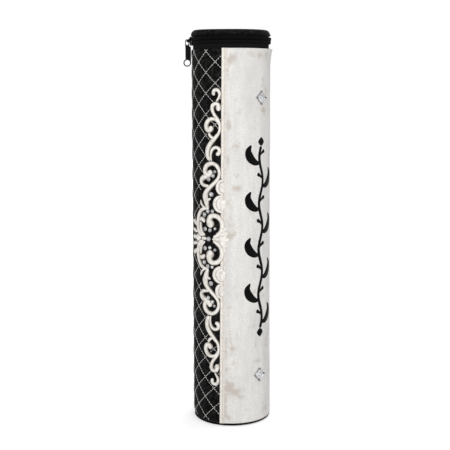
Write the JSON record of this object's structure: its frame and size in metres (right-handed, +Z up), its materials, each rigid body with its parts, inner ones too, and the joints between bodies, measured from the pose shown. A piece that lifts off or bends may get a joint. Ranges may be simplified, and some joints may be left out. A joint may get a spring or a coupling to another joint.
{
  "type": "zippered scroll case",
  "caption": "Tall round zippered case for a rolled scroll, quilted black leatherette with an ivory front panel, raised scroll embroidery and a hinged padded lid.",
  "frame": {"origin": "centre of the foot's underside, on the case's axis", "axes": "+Z up along the case, -Y out of the ivory front panel, +Y towards the cloth hinge"},
  "size_m": [0.0792, 0.0791, 0.3845],
  "materials": {
    "leatherette": "satin",
    "ivory_leatherette": "satin",
    "cream_hem": "satin",
    "cream_thread": "satin",
    "black_thread": "satin",
    "zipper_tape": "matte",
    "zipper_coil": "satin",
    "black_metal": "satin",
    "silver_metal": "polished",
    "crystal": "polished",
    "board": "matte",
    "lining": "matte"
  },
  "bodies": {
    "case_body": {"tube_board": "board", "bottom_board": "board", "bottom_cover": "leatherette", "bottom_binding": "leatherette", "floor_lining": "lining", "body_lining": "lining", "quilted_cover": "leatherette", "title_panel": "ivory_leatherette", "panel_hem_left": "cream_hem", "panel_hem_right": "cream_hem", "scroll_left": "cream_thread", "scroll_right": "cream_thread", "vine_motif": "black_thread", "stud_rim_lower": "silver_metal", "stud_rim_upper": "silver_metal", "stud_crystal_lower": "crystal", "stud_crystal_upper": "crystal", "zipper_tape_body": "zipper_tape", "zipper_row_body": "zipper_coil", "zipper_stop_closed_end": "black_metal", "zipper_stop_open_end": "black_metal", "hinge_strip_body": "leatherette", "rhinestone_left_1": "crystal", "rhinestone_left_2": "crystal", "rhinestone_left_3": "crystal", "rhinestone_left_4": "crystal", "rhinestone_left_5": "crystal", "rhinestone_left_6": "crystal", "rhinestone_left_7": "crystal", "rhinestone_left_8": "crystal", "rhinestone_left_9": "crystal", "rhinestone_left_10": "crystal", "rhinestone_left_11": "crystal", "rhinestone_left_12": "crystal", "rhinestone_left_13": "crystal", "rhinestone_right_1": "crystal", "rhinestone_right_2": "crystal", "rhinestone_right_3": "crystal", "rhinestone_right_4": "crystal", "rhinestone_right_5": "crystal", "rhinestone_right_6": "crystal", "rhinestone_right_7": "crystal", "rhinestone_right_8": "crystal", "rhinestone_right_9": "crystal", "rhinestone_right_10": "crystal", "rhinestone_right_11": "crystal", "rhinestone_right_12": "crystal", "rhinestone_right_13": "crystal"},
    "lid": {"zipper_tape_lid": "zipper_tape", "zipper_row_lid": "zipper_coil", "hinge_strip_lid": "leatherette", "lid_board": "board", "lid_board_rim": "board", "lid_lining": "lining", "lid_cover": "leatherette"},
    "slider": {"zipper_slider": "black_metal"},
    "pull": {"pull_tab": "black_metal"}
  },
  "joints": [
    {"name": "lid_hinge", "type": "hinge", "parent": "case_body", "child": "lid", "pos_m": [0, 0.0386, 0.37465], "axis": [-1, 0, 0], "range_deg": [0, 165]},
    {"name": "slider_travel", "type": "hinge", "parent": "case_body", "child": "slider", "pos_m": [0, 0, 0.37465], "axis": [0, 0, 1], "range_deg": [0, 278]},
    {"name": "pull_swing", "type": "hinge", "parent": "slider", "child": "pull", "pos_m": [-0.0279, 0.03232, 0.37465], "axis": [0.757, 0.6534, 0], "range_deg": [0, 165]}
  ]
}
